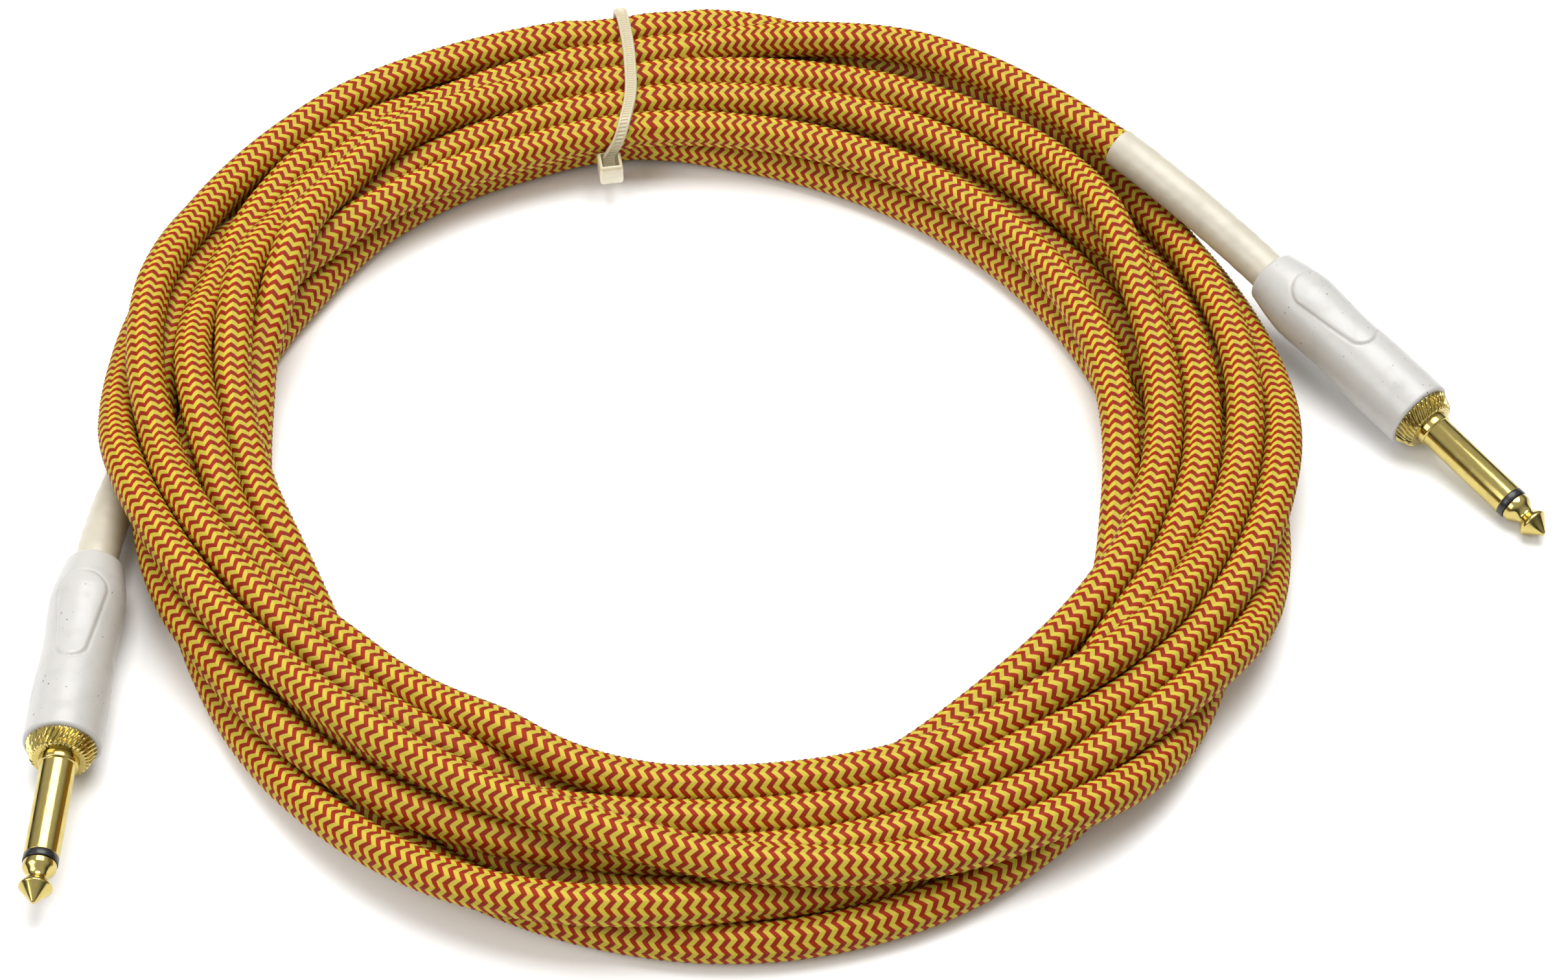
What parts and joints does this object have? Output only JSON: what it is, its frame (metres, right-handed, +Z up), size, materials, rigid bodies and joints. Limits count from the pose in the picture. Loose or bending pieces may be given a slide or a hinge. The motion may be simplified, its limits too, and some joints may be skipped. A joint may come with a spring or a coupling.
{
  "type": "instrument cable",
  "caption": "Woven-jacket audio lead for an electric instrument, wound in a tied ring coil, with straight moulded quarter-inch plugs that have gold-plated contacts.",
  "frame": {"origin": "centre of the bottom of the whole object's box, on the surface that the cable lies on", "axes": "+Z up, square to the flat coil; +X towards the plug that points away from the coil; the other plug points along -Y"},
  "size_m": [0.2804, 0.2409, 0.0241],
  "materials": {
    "woven_jacket": "yellow and red-brown zigzag braid",
    "tie_nylon": "translucent natural nylon",
    "heat_shrink": "smooth cream sleeving",
    "handle_plastic": "satin off-white moulding",
    "mould_plastic": "as moulded",
    "gold_plate": "polished gold plating, lightly scuffed",
    "black_insulator": "black insulator",
    "nickel_plate": "nickel plating",
    "inner_jacket": "soft black jacket",
    "core_insulation": "white insulation",
    "bare_copper": "twisted bare copper"
  },
  "bodies": {
    "root": {"cable_coil": "woven_jacket", "cable_tie": "tie_nylon", "cable_lead_a": "woven_jacket", "heat_shrink_a": "heat_shrink", "handle_a": "handle_plastic", "inner_mould_a": "mould_plastic", "knurled_collar_a": "gold_plate", "sleeve_a": "gold_plate", "tip_a": "gold_plate", "tip_insulator_a": "black_insulator", "inner_insulator_a": "black_insulator", "centre_rod_a": "nickel_plate", "rear_washer_a": "black_insulator", "tip_lug_a": "nickel_plate", "ground_clamp_a": "nickel_plate", "jacket_end_a": "inner_jacket", "core_wire_a": "core_insulation", "shield_wire_a": "bare_copper", "cable_lead_b": "woven_jacket", "heat_shrink_b": "heat_shrink", "handle_b": "handle_plastic", "inner_mould_b": "mould_plastic", "knurled_collar_b": "gold_plate", "sleeve_b": "gold_plate", "tip_b": "gold_plate", "tip_insulator_b": "black_insulator", "inner_insulator_b": "black_insulator", "centre_rod_b": "nickel_plate", "rear_washer_b": "black_insulator", "tip_lug_b": "nickel_plate", "ground_clamp_b": "nickel_plate", "jacket_end_b": "inner_jacket", "core_wire_b": "core_insulation", "shield_wire_b": "bare_copper"}
  },
  "joints": []
}
